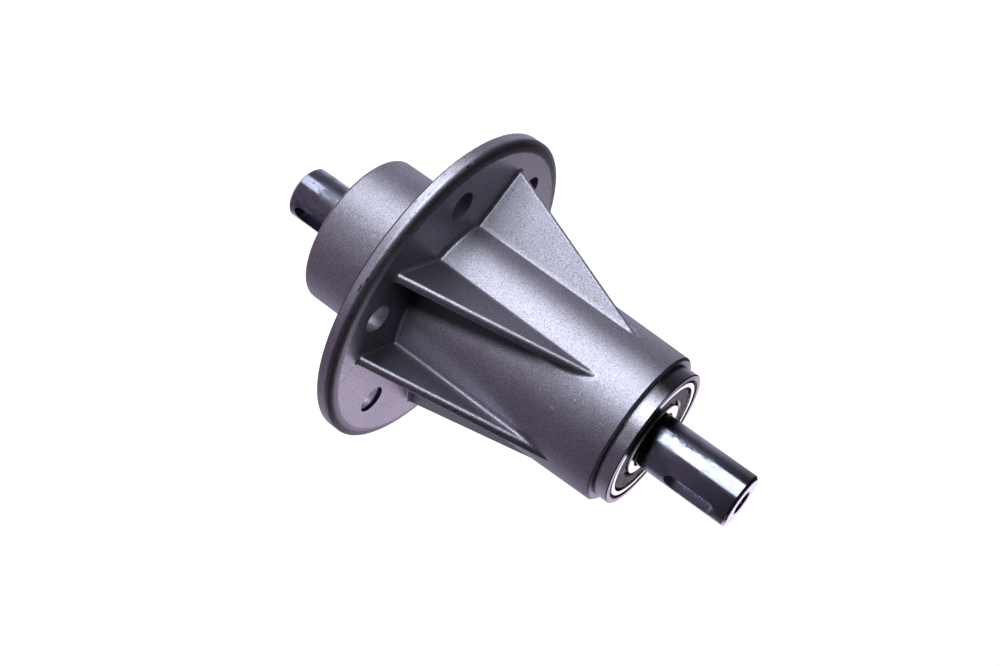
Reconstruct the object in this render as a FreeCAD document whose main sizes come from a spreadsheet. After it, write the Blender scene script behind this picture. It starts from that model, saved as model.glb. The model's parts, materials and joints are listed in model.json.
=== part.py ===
"""Mower deck spindle: a ribbed cast housing that carries a keyed shaft on two ball bearings.

Millimetres and degrees. +Z runs along the shaft towards the ribbed barrel and the pulley end.
The origin is on the shaft's axis in the plane where the flange sits on the deck.
"""
import FreeCAD, Part
import enum
import math
import os
import Sketcher

DRIVING_DIMENSIONS = {
    # Shaft
    "shaft_dia": 20,
    "shaft_below_boss": 26.4,
    "shaft_above_collar": 35.6,
    "shaft_chamfer": 1,
    "shaft_turn": -30,
    "relief_width": 0.8,
    "relief_depth": 0.2,
    "key_width": 6,
    "key_depth": 3.5,
    "key_length": 20,
    "upper_key_inset": 4.6,
    "lower_key_inset": 3.4,
    "tap_dia": 8.5,
    "tap_depth": 25,
    "tap_mouth_chamfer": 0.3,
    "drill_point_angle": 118,
    # Ball bearings, both the same
    "bearing_dia": 47,
    "bearing_width": 14,
    "bearing_corner": 0.8,
    "ball_dia": 7.938,
    "ball_count": 8,
    "race_conformity": 0.52,
    "race_clearance": 0.05,
    "inner_shoulder_gap": 1.95,
    "outer_land_gap": 2.55,
    "inner_rim_width": 3.6,
    "outer_rim_width": 2.4,
    "step_depth": 1.7,
    "shield_seat_depth": 1.3,
    "shield_sheet": 0.4,
    "shield_clearance": 0.05,
    "shield_rise": 0.5,
    "shield_rim_width": 0.55,
    "shield_bend": 0.5,
    "shield_gap": 1.4,
    "cage_sheet": 0.6,
    "cage_pocket_clearance": 0.15,
    "cage_ring_gap": 0.65,
    "rivet_dia": 1.4,
    "rivet_head_dia": 2.4,
    "rivet_head_height": 0.5,
    "rivet_clearance": 0.05,
    # Sleeve between the inner rings
    "sleeve_wall": 2.95,
    "sleeve_clearance": 0.05,
    # Housing
    "housing_turn": 180,
    "flange_dia": 123,
    "flange_rim_thickness": 4.8,
    "flange_bevel_width": 4,
    "flange_bevel_height": 1.4,
    "flange_root_thickness": 7,
    "flange_front_round": 2,
    "flange_back_round": 0.8,
    "boss_dia": 58.4,
    "boss_length": 36,
    "boss_round": 1.2,
    "barrel_base_dia": 60.9,
    "barrel_end_dia": 57.5,
    "barrel_height": 89.8,
    "barrel_chamfer": 0.8,
    "collar_wall": 2.5,
    "collar_height": 5.5,
    "collar_chamfer": 0.3,
    "upper_recess": 0.2,
    "lower_recess": 1,
    "seat_chamfer": 0.5,
    "seat_clearance": 0,
    "bore_dia": 40.5,
    "bolt_circle_dia": 92,
    "bolt_hole_dia": 10.5,
    "bolt_hole_count": 6,
    "rib_pair_count": 3,
    "rib_spacing": 33,
    "rib_edge_thickness": 3.2,
    "rib_draft": 3.8,
    "rib_reach": 48.1,
    "rib_top_height": 77.2,
    "rib_end_depth": 0.65,
    "rib_core_depth": 2,
    "rib_edge_round": 1.3,
    "root_round": 1.2,
}

doc = FreeCAD.newDocument("deck_spindle")
sheet = doc.addObject("Spreadsheet::Sheet", "dims")
for row, (alias, number) in enumerate(DRIVING_DIMENSIONS.items(), start=1):
    sheet.set(f"A{row}", alias)
    sheet.set(f"B{row}", str(number))
    sheet.setAlias(f"B{row}", alias)
doc.recompute()

# Heights along the shaft and radii that several pieces share
COLLAR_TOP = "(dims.barrel_height + dims.collar_height)"
UPPER_BEARING_HEIGHT = f"({COLLAR_TOP} - dims.upper_recess - dims.bearing_width / 2)"
LOWER_BEARING_HEIGHT = "(-dims.boss_length + dims.lower_recess + dims.bearing_width / 2)"
SHAFT_TOP = f"({COLLAR_TOP} + dims.shaft_above_collar)"
SHAFT_BOTTOM = "(-dims.boss_length - dims.shaft_below_boss)"
SHAFT_RADIUS = "(dims.shaft_dia / 2)"
SEAT_RADIUS = "(dims.bearing_dia / 2 + dims.seat_clearance)"
HALF_BEARING = "(dims.bearing_width / 2)"
BALL_RADIUS = "(dims.ball_dia / 2)"
BALL_CIRCLE_RADIUS = "((dims.shaft_dia + dims.bearing_dia) / 4)"
BALL_STEP = "(360 deg / dims.ball_count)"
RACE_RADIUS = "(dims.ball_dia * dims.race_conformity)"
INNER_SHOULDER_RADIUS = f"({BALL_CIRCLE_RADIUS} - dims.inner_shoulder_gap)"
INNER_STEP_RADIUS = f"({SHAFT_RADIUS} + dims.inner_rim_width)"
OUTER_LAND_RADIUS = f"({BALL_CIRCLE_RADIUS} + dims.outer_land_gap)"
SHIELD_SEAT_RADIUS = "(dims.bearing_dia / 2 - dims.outer_rim_width)"
CAGE_INNER_RADIUS = f"({INNER_SHOULDER_RADIUS} + dims.cage_ring_gap)"
CAGE_OUTER_RADIUS = f"({OUTER_LAND_RADIUS} - dims.cage_ring_gap)"
POCKET_RADIUS = f"({BALL_RADIUS} + dims.cage_pocket_clearance)"

# Where the bevel at the flange's rim meets its front face
FLANGE_FRONT_RADIUS = "(dims.flange_dia / 2 - dims.flange_bevel_width)"
FLANGE_FRONT_HEIGHT = "(dims.flange_rim_thickness + dims.flange_bevel_height)"

# The ribs start inside the flange and end just under the barrel's tapered surface
RIB_FOOT = "dims.flange_rim_thickness"
RIB_TOP = "dims.rib_top_height"
BARREL_RUN = "(dims.barrel_height - dims.barrel_chamfer - dims.flange_root_thickness)"
BARREL_TAPER = f"((dims.barrel_base_dia - dims.barrel_end_dia) / 2 / {BARREL_RUN})"
BARREL_AT_RIB_TOP = f"(dims.barrel_base_dia / 2 - {BARREL_TAPER} * ({RIB_TOP} - dims.flange_root_thickness))"
RIB_OUTER_SIDE = "((dims.rib_spacing + dims.rib_edge_thickness) / 2)"
RIB_ROOT_SIDE = f"({RIB_OUTER_SIDE} + dims.rib_reach * tan(dims.rib_draft * 1 deg))"
BARREL_LEAST = f"min(dims.barrel_base_dia / 2; {BARREL_AT_RIB_TOP})"
RIB_TOP_REACH = f"(sqrt({BARREL_AT_RIB_TOP}^2 - {RIB_OUTER_SIDE}^2) - dims.rib_end_depth)"
RIB_CORE_REACH = f"(sqrt({BARREL_LEAST}^2 - {RIB_ROOT_SIDE}^2) - dims.rib_core_depth)"

X_AXIS = FreeCAD.Vector(1, 0, 0)
Z_AXIS = FreeCAD.Vector(0, 0, 1)
FULL_TURN = 360
HALF_TURN = 180
SAME = 1e-4


class SketchAxis(enum.IntEnum):
    """A sketch's own axes, as constraints name them."""

    HORIZONTAL = -1
    VERTICAL = -2


class PointOn(enum.IntEnum):
    """The points of a line, arc or circle, as constraints name them."""

    START = 1
    END = 2
    CENTRE = 3


sub_parts = []


def value(expression):
    """The number that an expression of the sheet gives now."""
    result = sheet.evalExpression(expression)
    return getattr(result, "Value", result)


def new_body(label):
    """An empty body that becomes one sub-part."""
    body = doc.addObject("PartDesign::Body", label)
    body.Label = label
    sub_parts.append(body)
    return body


def origin_of(body, role):
    """One of a body's own origin planes or axes."""
    return next(feature for feature in body.Origin.OriginFeatures if feature.Role == role)


def place(sub_part, height="0", turn="0", axis=Z_AXIS):
    """Set a sub-part at a height on the shaft's axis, turned about an axis through that point."""
    turning = FreeCAD.Rotation(axis, value(turn))
    sub_part.Placement = FreeCAD.Placement(FreeCAD.Vector(0, 0, value(height)), turning)
    sub_part.setExpression("Placement.Base.z", height)


def sketch_on(body, name, role, offset="0"):
    """A sketch on an origin plane of the body, shifted along the plane's normal."""
    sketch = body.newObject("Sketcher::SketchObject", name)
    sketch.AttachmentSupport = [(origin_of(body, role), "")]
    sketch.MapMode = "FlatFace"
    sketch.AttachmentOffset = FreeCAD.Placement(FreeCAD.Vector(0, 0, value(offset)), FreeCAD.Rotation())
    sketch.setExpression("AttachmentOffset.Base.z", offset)
    return sketch


def bind(sketch, kind, geometry, vertex, expression):
    """Tie one coordinate of a point to an expression, or the point to an axis where that is zero."""
    if expression == "0":
        axis = SketchAxis.VERTICAL if kind == "DistanceX" else SketchAxis.HORIZONTAL
        sketch.addConstraint(Sketcher.Constraint("PointOnObject", geometry, vertex, axis))
        return
    index = sketch.addConstraint(Sketcher.Constraint(kind, geometry, vertex, value(expression)))
    sketch.setExpression(f"Constraints[{index}]", expression)


def polygon(sketch, corners):
    """A closed outline of straight lines whose corners are pairs of expressions."""
    points = [FreeCAD.Vector(value(x), value(y), 0) for x, y in corners]
    lines = [
        sketch.addGeometry(Part.LineSegment(point, points[(index + 1) % len(points)]))
        for index, point in enumerate(points)
    ]
    for index, (x, y) in enumerate(corners):
        corner = (lines[index - 1], PointOn.END, lines[index], PointOn.START)
        sketch.addConstraint(Sketcher.Constraint("Coincident", *corner))
        bind(sketch, "DistanceX", lines[index], PointOn.START, x)
        bind(sketch, "DistanceY", lines[index], PointOn.START, y)


def circle(sketch, x, y, radius):
    """A circle whose centre and radius are expressions."""
    centre = FreeCAD.Vector(value(x), value(y), 0)
    index = sketch.addGeometry(Part.Circle(centre, Z_AXIS, value(radius)))
    bind(sketch, "DistanceX", index, PointOn.CENTRE, x)
    bind(sketch, "DistanceY", index, PointOn.CENTRE, y)
    rule = sketch.addConstraint(Sketcher.Constraint("Radius", index, value(radius)))
    sketch.setExpression(f"Constraints[{rule}]", radius)


def upright_slot(sketch, low_end, high_end, width):
    """A slot with round ends along the sketch's vertical axis, between two end heights."""
    radius = value(width) / 2
    low = FreeCAD.Vector(0, value(low_end) + radius, 0)
    high = FreeCAD.Vector(0, value(high_end) - radius, 0)
    side = FreeCAD.Vector(radius, 0, 0)
    top = sketch.addGeometry(Part.ArcOfCircle(Part.Circle(high, Z_AXIS, radius), 0, math.pi))
    left = sketch.addGeometry(Part.LineSegment(high - side, low - side))
    bottom = sketch.addGeometry(Part.ArcOfCircle(Part.Circle(low, Z_AXIS, radius), math.pi, 2 * math.pi))
    right = sketch.addGeometry(Part.LineSegment(low + side, high + side))
    ring = [top, left, bottom, right]
    for first, second in zip(ring, ring[1:] + ring[:1]):
        joint = (first, PointOn.END, second, PointOn.START)
        sketch.addConstraint(Sketcher.Constraint("Tangent", *joint))
    bind(sketch, "DistanceX", top, PointOn.CENTRE, "0")
    bind(sketch, "DistanceX", bottom, PointOn.CENTRE, "0")
    bind(sketch, "DistanceY", top, PointOn.CENTRE, f"{high_end} - {width} / 2")
    bind(sketch, "DistanceY", bottom, PointOn.CENTRE, f"{low_end} + {width} / 2")
    rule = sketch.addConstraint(Sketcher.Constraint("Radius", top, radius))
    sketch.setExpression(f"Constraints[{rule}]", f"{width} / 2")


def turned(body, kind, name, sketch):
    """A Revolution or Groove of a sketch, a whole turn about the sketch's vertical axis."""
    feature = body.newObject(f"PartDesign::{kind}", name)
    feature.Profile = sketch
    feature.ReferenceAxis = (sketch, ["V_Axis"])
    feature.Angle = FULL_TURN
    return feature


def turned_outline(body, kind, name, corners):
    """A Revolution or Groove of a polygon given as radius and height."""
    sketch = sketch_on(body, f"{name}_profile", "XZ_Plane")
    polygon(sketch, corners)
    return turned(body, kind, name, sketch)


def cut_through(body, name, sketch, outwards):
    """A Pocket through everything on one side of its sketch, which has to remove material."""
    doc.recompute()
    before = body.Shape.Volume
    pocket = body.newObject("PartDesign::Pocket", name)
    pocket.Profile = sketch
    pocket.Type = "ThroughAll"
    pocket.Reversed = outwards
    doc.recompute()
    if body.Shape.Volume >= before:
        raise RuntimeError(f"{name} removes nothing from {body.Label}")
    return pocket


def around_axis(body, name, originals, count):
    """Repeat features evenly around the shaft's axis."""
    pattern = body.newObject("PartDesign::PolarPattern", name)
    pattern.Originals = originals
    pattern.Axis = (origin_of(body, "Z_Axis"), [""])
    pattern.Angle = FULL_TURN
    pattern.setExpression("Occurrences", count)
    body.Tip = pattern
    return pattern


def round_edges(body, name, base, edges, radius):
    """A Fillet on some edges of a feature."""
    names = [
        f"Edge{index}"
        for index, candidate in enumerate(base.Shape.Edges, start=1)
        if any(candidate.isSame(edge) for edge in edges)
    ]
    fillet = body.newObject("PartDesign::Fillet", name)
    fillet.Base = (base, names)
    fillet.setExpression("Radius", radius)
    body.Tip = fillet
    doc.recompute()
    return fillet


def rims(shape, radius, height):
    """The whole circles of a radius at a height about the shaft's axis."""
    return [
        edge for edge in shape.Edges
        if not edge.Degenerated and edge.isClosed() and isinstance(edge.Curve, Part.Circle)
        and math.isclose(edge.Curve.Radius, value(radius), abs_tol=SAME)
        and math.isclose(edge.Curve.Center.z, value(height), abs_tol=SAME)
    ]


def rib_ridges(shape):
    """The long outer edges of the ribs: those that rise between two faces that aren't round."""
    def round_face(face):
        return isinstance(face.Surface, (Part.Cone, Part.Cylinder))

    rising = [edge for edge in shape.Edges if edge.BoundBox.ZLength > SAME]
    return [edge for edge in rising if not any(map(round_face, shape.ancestorsOfType(edge, Part.Face)))]


def rib_roots(shape):
    """The inner corners where ribs, barrel and flange meet."""
    end_rim = rims(shape, "dims.barrel_end_dia / 2", "dims.barrel_height - dims.barrel_chamfer")[0]
    front_rim = rims(shape, FLANGE_FRONT_RADIUS, FLANGE_FRONT_HEIGHT)[0]
    barrel = max(shape.ancestorsOfType(end_rim, Part.Face), key=lambda face: face.Area)
    front = max(shape.ancestorsOfType(front_rim, Part.Face), key=lambda face: face.Area)
    return [
        edge for edge in barrel.Edges + front.Edges
        if not edge.isClosed() and len(shape.ancestorsOfType(edge, Part.Face)) == 2
    ]


def rib_section(body, name, side, height, reach):
    """A rib's section at one height: the outer edge at a reach, thicker towards the barrel by the draft."""
    sketch = sketch_on(body, name, "XY_Plane", height)
    middle = f"{side} * dims.rib_spacing / 2"
    edge = "dims.rib_edge_thickness / 2"
    root = f"({edge} + ({reach} - {RIB_CORE_REACH}) * tan(dims.rib_draft * 1 deg))"
    polygon(sketch, [
        (RIB_CORE_REACH, f"{middle} - {root}"),
        (reach, f"{middle} - {edge}"),
        (reach, f"{middle} + {edge}"),
        (RIB_CORE_REACH, f"{middle} + {root}"),
    ])
    return sketch


def make_housing():
    """The one-piece casting: boss, flange with bolt holes, tapered barrel, rib pairs and bearing seats."""
    body = new_body("housing")
    boss = "dims.boss_dia / 2"
    flange = "dims.flange_dia / 2"
    barrel = "dims.barrel_end_dia / 2"
    collar = "(dims.bearing_dia / 2 + dims.collar_wall)"
    turned_outline(body, "Revolution", "housing_blank", [
        ("0", "-dims.boss_length"),
        (boss, "-dims.boss_length"),
        (boss, "0"),
        (flange, "0"),
        (flange, "dims.flange_rim_thickness"),
        (FLANGE_FRONT_RADIUS, FLANGE_FRONT_HEIGHT),
        ("dims.barrel_base_dia / 2", "dims.flange_root_thickness"),
        (barrel, "dims.barrel_height - dims.barrel_chamfer"),
        (f"{barrel} - dims.barrel_chamfer", "dims.barrel_height"),
        (collar, "dims.barrel_height"),
        (collar, f"{COLLAR_TOP} - dims.collar_chamfer"),
        (f"{collar} - dims.collar_chamfer", COLLAR_TOP),
        ("0", COLLAR_TOP),
    ])
    ribs = []
    for side_name, side in (("left", 1), ("right", -1)):
        rib = body.newObject("PartDesign::AdditiveLoft", f"{side_name}_rib")
        rib.Profile = rib_section(body, f"{side_name}_rib_foot", side, RIB_FOOT, "dims.rib_reach")
        rib.Sections = [rib_section(body, f"{side_name}_rib_top", side, RIB_TOP, RIB_TOP_REACH)]
        rib.Ruled = True
        ribs.append(rib)
    ribbed = around_axis(body, "rib_pairs", ribs, "dims.rib_pair_count")
    doc.recompute()
    eased = round_edges(body, "rib_edge_rounds", ribbed, rib_ridges(ribbed.Shape), "dims.rib_edge_round")
    rooted = round_edges(body, "root_rounds", eased, rib_roots(eased.Shape), "dims.root_round")
    front_rim = rims(rooted.Shape, FLANGE_FRONT_RADIUS, FLANGE_FRONT_HEIGHT)
    fronted = round_edges(body, "flange_front_rounds", rooted, front_rim, "dims.flange_front_round")
    back_rim = rims(fronted.Shape, flange, "0")
    backed = round_edges(body, "flange_back_rounds", fronted, back_rim, "dims.flange_back_round")
    boss_rim = rims(backed.Shape, boss, "-dims.boss_length")
    round_edges(body, "boss_end_rounds", backed, boss_rim, "dims.boss_round")
    bore = "dims.bore_dia / 2"
    lower_shoulder = f"{LOWER_BEARING_HEIGHT} + {HALF_BEARING}"
    upper_shoulder = f"{UPPER_BEARING_HEIGHT} - {HALF_BEARING}"
    turned_outline(body, "Groove", "housing_bore", [
        ("0", "-dims.boss_length"),
        (f"{SEAT_RADIUS} + dims.seat_chamfer", "-dims.boss_length"),
        (SEAT_RADIUS, "-dims.boss_length + dims.seat_chamfer"),
        (SEAT_RADIUS, lower_shoulder),
        (bore, lower_shoulder),
        (bore, upper_shoulder),
        (SEAT_RADIUS, upper_shoulder),
        (SEAT_RADIUS, f"{COLLAR_TOP} - dims.seat_chamfer"),
        (f"{SEAT_RADIUS} + dims.seat_chamfer", COLLAR_TOP),
        ("0", COLLAR_TOP),
    ])
    hole_sketch = sketch_on(body, "bolt_hole_outline", "XY_Plane")
    circle(hole_sketch, "dims.bolt_circle_dia / 2", "0", "dims.bolt_hole_dia / 2")
    hole = cut_through(body, "bolt_hole", hole_sketch, True)
    around_axis(body, "bolt_holes", [hole], "dims.bolt_hole_count")
    place(body, turn="dims.housing_turn")


def make_shaft():
    """The shaft: chamfered ends, a key slot near each end, a tapped hole in each end face and a shallow
    relief under each inner ring's outer corner, where the hub's seat starts."""
    body = new_body("shaft")
    blank_edge = f"{SHAFT_RADIUS} - dims.shaft_chamfer"
    relief = f"{SHAFT_RADIUS} - dims.relief_depth"
    lower_seat_start = f"({LOWER_BEARING_HEIGHT} - {HALF_BEARING})"
    upper_seat_start = f"({UPPER_BEARING_HEIGHT} + {HALF_BEARING})"
    turned_outline(body, "Revolution", "shaft_blank", [
        ("0", SHAFT_BOTTOM),
        (blank_edge, SHAFT_BOTTOM),
        (SHAFT_RADIUS, f"{SHAFT_BOTTOM} + dims.shaft_chamfer"),
        (SHAFT_RADIUS, lower_seat_start),
        (relief, lower_seat_start),
        (relief, f"{lower_seat_start} + dims.relief_width"),
        (SHAFT_RADIUS, f"{lower_seat_start} + dims.relief_width"),
        (SHAFT_RADIUS, f"{upper_seat_start} - dims.relief_width"),
        (relief, f"{upper_seat_start} - dims.relief_width"),
        (relief, upper_seat_start),
        (SHAFT_RADIUS, upper_seat_start),
        (SHAFT_RADIUS, f"{SHAFT_TOP} - dims.shaft_chamfer"),
        (blank_edge, SHAFT_TOP),
        ("0", SHAFT_TOP),
    ])
    upper_slot_end = f"{SHAFT_TOP} - dims.upper_key_inset"
    lower_slot_end = f"{SHAFT_BOTTOM} + dims.lower_key_inset"
    key_slots = {
        "upper_key_slot": (f"{upper_slot_end} - dims.key_length", upper_slot_end),
        "lower_key_slot": (lower_slot_end, f"{lower_slot_end} + dims.key_length"),
    }
    for name, (low_end, high_end) in key_slots.items():
        sketch = sketch_on(body, f"{name}_outline", "YZ_Plane", f"{SHAFT_RADIUS} - dims.key_depth")
        upright_slot(sketch, low_end, high_end, "dims.key_width")
        cut_through(body, name, sketch, True)
    tap = "dims.tap_dia / 2"
    point = f"{tap} / tan(dims.drill_point_angle / 2 * 1 deg)"
    for name, mouth, inwards in (("upper_tap", SHAFT_TOP, "-"), ("lower_tap", SHAFT_BOTTOM, "+")):
        turned_outline(body, "Groove", name, [
            ("0", mouth),
            (f"{tap} + dims.tap_mouth_chamfer", mouth),
            (tap, f"{mouth} {inwards} dims.tap_mouth_chamfer"),
            (tap, f"{mouth} {inwards} dims.tap_depth"),
            ("0", f"{mouth} {inwards} (dims.tap_depth + {point})"),
        ])
    place(body, turn="dims.shaft_turn")


def make_spacer_sleeve():
    """The plain tube that keeps the two inner rings apart."""
    low = f"{LOWER_BEARING_HEIGHT} + {HALF_BEARING}"
    high = f"{UPPER_BEARING_HEIGHT} - {HALF_BEARING}"
    inner = f"{SHAFT_RADIUS} + dims.sleeve_clearance"
    outer = f"{inner} + dims.sleeve_wall"
    body = new_body("spacer_sleeve")
    wall = [(inner, low), (outer, low), (outer, high), (inner, high)]
    turned_outline(body, "Revolution", "sleeve_wall", wall)
    place(body)


def cut_race(body, name, centre_radius):
    """The round groove that the balls run in, cut into a ring at its mid-plane."""
    sketch = sketch_on(body, f"{name}_section", "XZ_Plane")
    circle(sketch, centre_radius, "0", RACE_RADIUS)
    turned(body, "Groove", name, sketch)


def make_outer_ring(prefix, height):
    """A bearing's outer ring: chamfered outside, with a shield seat at each face and a ball race inside."""
    outer = "dims.bearing_dia / 2"
    seat_height = f"({HALF_BEARING} - dims.shield_seat_depth)"
    upper_half = [
        (OUTER_LAND_RADIUS, seat_height),
        (SHIELD_SEAT_RADIUS, seat_height),
        (SHIELD_SEAT_RADIUS, HALF_BEARING),
        (f"{outer} - dims.bearing_corner", HALF_BEARING),
        (outer, f"{HALF_BEARING} - dims.bearing_corner"),
    ]
    lower_half = [(radius, f"-({level})") for radius, level in reversed(upper_half)]
    body = new_body(f"{prefix}_outer_ring")
    turned_outline(body, "Revolution", f"{prefix}_outer_ring_blank", upper_half + lower_half)
    race_centre = f"{BALL_CIRCLE_RADIUS} + {BALL_RADIUS} + dims.race_clearance - {RACE_RADIUS}"
    cut_race(body, f"{prefix}_outer_race", race_centre)
    place(body, height)


def make_inner_ring(prefix, height):
    """A bearing's inner ring: pressed on the shaft, stepped under the shields, with a ball race outside."""
    step_height = f"({HALF_BEARING} - dims.step_depth)"
    upper_half = [
        (INNER_SHOULDER_RADIUS, step_height),
        (INNER_STEP_RADIUS, step_height),
        (INNER_STEP_RADIUS, HALF_BEARING),
        (f"{SHAFT_RADIUS} + dims.bearing_corner", HALF_BEARING),
        (SHAFT_RADIUS, f"{HALF_BEARING} - dims.bearing_corner"),
    ]
    lower_half = [(radius, f"-({level})") for radius, level in reversed(upper_half)]
    body = new_body(f"{prefix}_inner_ring")
    turned_outline(body, "Revolution", f"{prefix}_inner_ring_blank", upper_half + lower_half)
    race_centre = f"{BALL_CIRCLE_RADIUS} - {BALL_RADIUS} - dims.race_clearance + {RACE_RADIUS}"
    cut_race(body, f"{prefix}_inner_race", race_centre)
    place(body, height)


def make_shield(label, height, turn):
    """A pressed sheet shield: a flat rim in the outer ring's seat, a raised web and a lip inside."""
    rim = f"({SHIELD_SEAT_RADIUS} - dims.shield_clearance)"
    rise_start = f"({rim} - dims.shield_rim_width)"
    rise_end = f"({rise_start} - dims.shield_rise)"
    lip = f"({INNER_STEP_RADIUS} + dims.shield_gap)"
    lip_start = f"({lip} + dims.shield_bend)"
    seat_height = f"({HALF_BEARING} - dims.shield_seat_depth)"
    web_height = f"({seat_height} + dims.shield_rise)"
    under_side = [
        (rim, seat_height),
        (rise_start, seat_height),
        (rise_end, web_height),
        (lip_start, web_height),
        (lip, f"({web_height} - dims.shield_bend)"),
    ]
    outer_side = [(radius, f"{level} + dims.shield_sheet") for radius, level in reversed(under_side)]
    body = new_body(label)
    turned_outline(body, "Revolution", f"{label}_sheet", under_side + outer_side)
    place(body, height, turn, X_AXIS)


def pocket_sphere(body, kind, name, radius):
    """The upper half of a ball around the first ball's centre, added to or taken from a cage half."""
    sphere = body.newObject(f"PartDesign::{kind}Sphere", name)
    sphere.AttachmentSupport = [(origin_of(body, "XY_Plane"), "")]
    sphere.MapMode = "FlatFace"
    sphere.setExpression("AttachmentOffset.Base.x", BALL_CIRCLE_RADIUS)
    sphere.setExpression("Radius", radius)
    sphere.Angle1 = 0
    return sphere


def make_cage_half(label, height, turn):
    """Half of a pressed ribbon cage: a flat ring that bulges round each ball, with rivet holes between."""
    body = new_body(label)
    ring_sketch = sketch_on(body, f"{label}_ring_outline", "XY_Plane")
    circle(ring_sketch, "0", "0", CAGE_INNER_RADIUS)
    circle(ring_sketch, "0", "0", CAGE_OUTER_RADIUS)
    ring = body.newObject("PartDesign::Pad", f"{label}_ring")
    ring.Profile = ring_sketch
    ring.setExpression("Length", "dims.cage_sheet")
    bulge = pocket_sphere(body, "Additive", f"{label}_bulge", f"{POCKET_RADIUS} + dims.cage_sheet")
    around_axis(body, f"{label}_bulges", [bulge], "dims.ball_count")
    hollow = pocket_sphere(body, "Subtractive", f"{label}_pocket", POCKET_RADIUS)
    around_axis(body, f"{label}_pockets", [hollow], "dims.ball_count")
    hole_sketch = sketch_on(body, f"{label}_rivet_hole_outline", "XY_Plane")
    across = f"{BALL_CIRCLE_RADIUS} * cos({BALL_STEP} / 2)"
    along = f"{BALL_CIRCLE_RADIUS} * sin({BALL_STEP} / 2)"
    circle(hole_sketch, across, along, "dims.rivet_dia / 2 + dims.rivet_clearance")
    hole = cut_through(body, f"{label}_rivet_hole", hole_sketch, True)
    around_axis(body, f"{label}_rivet_holes", [hole], "dims.ball_count")
    inside_sketch = sketch_on(body, f"{label}_inside_outline", "XY_Plane")
    circle(inside_sketch, "0", "0", CAGE_INNER_RADIUS)
    cut_through(body, f"{label}_inside", inside_sketch, True)
    outside_sketch = sketch_on(body, f"{label}_outside_outline", "XY_Plane")
    circle(outside_sketch, "0", "0", CAGE_OUTER_RADIUS)
    circle(outside_sketch, "0", "0", "dims.bearing_dia / 2")
    cut_through(body, f"{label}_outside", outside_sketch, True)
    place(body, height, turn, X_AXIS)


def make_cage_rivets(prefix, height):
    """The headed rivets that hold the two cage halves together, one between each two balls."""
    body = new_body(f"{prefix}_cage_rivets")
    sketch = sketch_on(body, f"{prefix}_rivet_profile", "XZ_Plane")
    shank = f"({BALL_CIRCLE_RADIUS} + dims.rivet_dia / 2)"
    head = f"({BALL_CIRCLE_RADIUS} + dims.rivet_head_dia / 2)"
    under_head = "dims.cage_sheet"
    over_head = "(dims.cage_sheet + dims.rivet_head_height)"
    polygon(sketch, [
        (BALL_CIRCLE_RADIUS, f"-{over_head}"),
        (head, f"-{over_head}"),
        (head, f"-{under_head}"),
        (shank, f"-{under_head}"),
        (shank, under_head),
        (head, under_head),
        (head, over_head),
        (BALL_CIRCLE_RADIUS, over_head),
    ])
    rivet = body.newObject("PartDesign::Revolution", f"{prefix}_rivet")
    rivet.Profile = sketch
    rivet.ReferenceAxis = (sketch, ["Edge8"])
    rivet.Angle = FULL_TURN
    around_axis(body, f"{prefix}_rivets", [rivet], "dims.ball_count")
    place(body, height, f"{BALL_STEP} / 2")


def make_balls(prefix, height):
    """The bearing's balls, evenly spaced on their pitch circle."""
    for index in range(int(value("dims.ball_count"))):
        label = f"{prefix}_ball_{index + 1}"
        ball = doc.addObject("Part::Sphere", label)
        ball.Label = label
        ball.setExpression("Radius", BALL_RADIUS)
        ball.setExpression("Placement.Base.x", f"{BALL_CIRCLE_RADIUS} * cos({index} * {BALL_STEP})")
        ball.setExpression("Placement.Base.y", f"{BALL_CIRCLE_RADIUS} * sin({index} * {BALL_STEP})")
        ball.setExpression("Placement.Base.z", height)
        sub_parts.append(ball)


def make_bearing(prefix, height):
    """One shielded deep-groove ball bearing, with its mid-plane at a height."""
    make_outer_ring(prefix, height)
    make_inner_ring(prefix, height)
    for side, turn in (("top", "0"), ("bottom", str(HALF_TURN))):
        make_shield(f"{prefix}_{side}_shield", height, turn)
        make_cage_half(f"{prefix}_{side}_cage_half", height, turn)
    make_cage_rivets(prefix, height)
    make_balls(prefix, height)


def check_and_write():
    """Stop on any failed object or bad shape, then write each sub-part to its own file."""
    failed = [item.Label for item in doc.Objects if {"Invalid", "Error"} & set(item.State)]
    bad = [item.Label for item in sub_parts if item.Shape.isNull() or not item.Shape.isValid()]
    if failed or bad:
        raise RuntimeError(f"failed objects: {failed}, bad shapes: {bad}")
    os.makedirs("parts", exist_ok=True)
    for item in sub_parts:
        item.Shape.exportStep(os.path.join("parts", f"{item.Label}.step"))
        print(f"{item.Label}: {len(item.Shape.Solids)} solid(s), {item.Shape.Volume:.1f} mm3")


make_housing()
make_shaft()
make_spacer_sleeve()
make_bearing("upper_bearing", UPPER_BEARING_HEIGHT)
make_bearing("lower_bearing", LOWER_BEARING_HEIGHT)
doc.recompute()
check_and_write()
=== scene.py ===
"""Looks of the mower deck spindle: finishes, tapped threads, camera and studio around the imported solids.

Metres, in the part's own frame: +Z runs along the shaft towards the ribbed barrel and the pulley end.
"""
import functools
import json
import logging
import math
from dataclasses import dataclass
from enum import Enum
from typing import Sequence

import bpy
import numpy as np
from mathutils import Matrix, Vector


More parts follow.
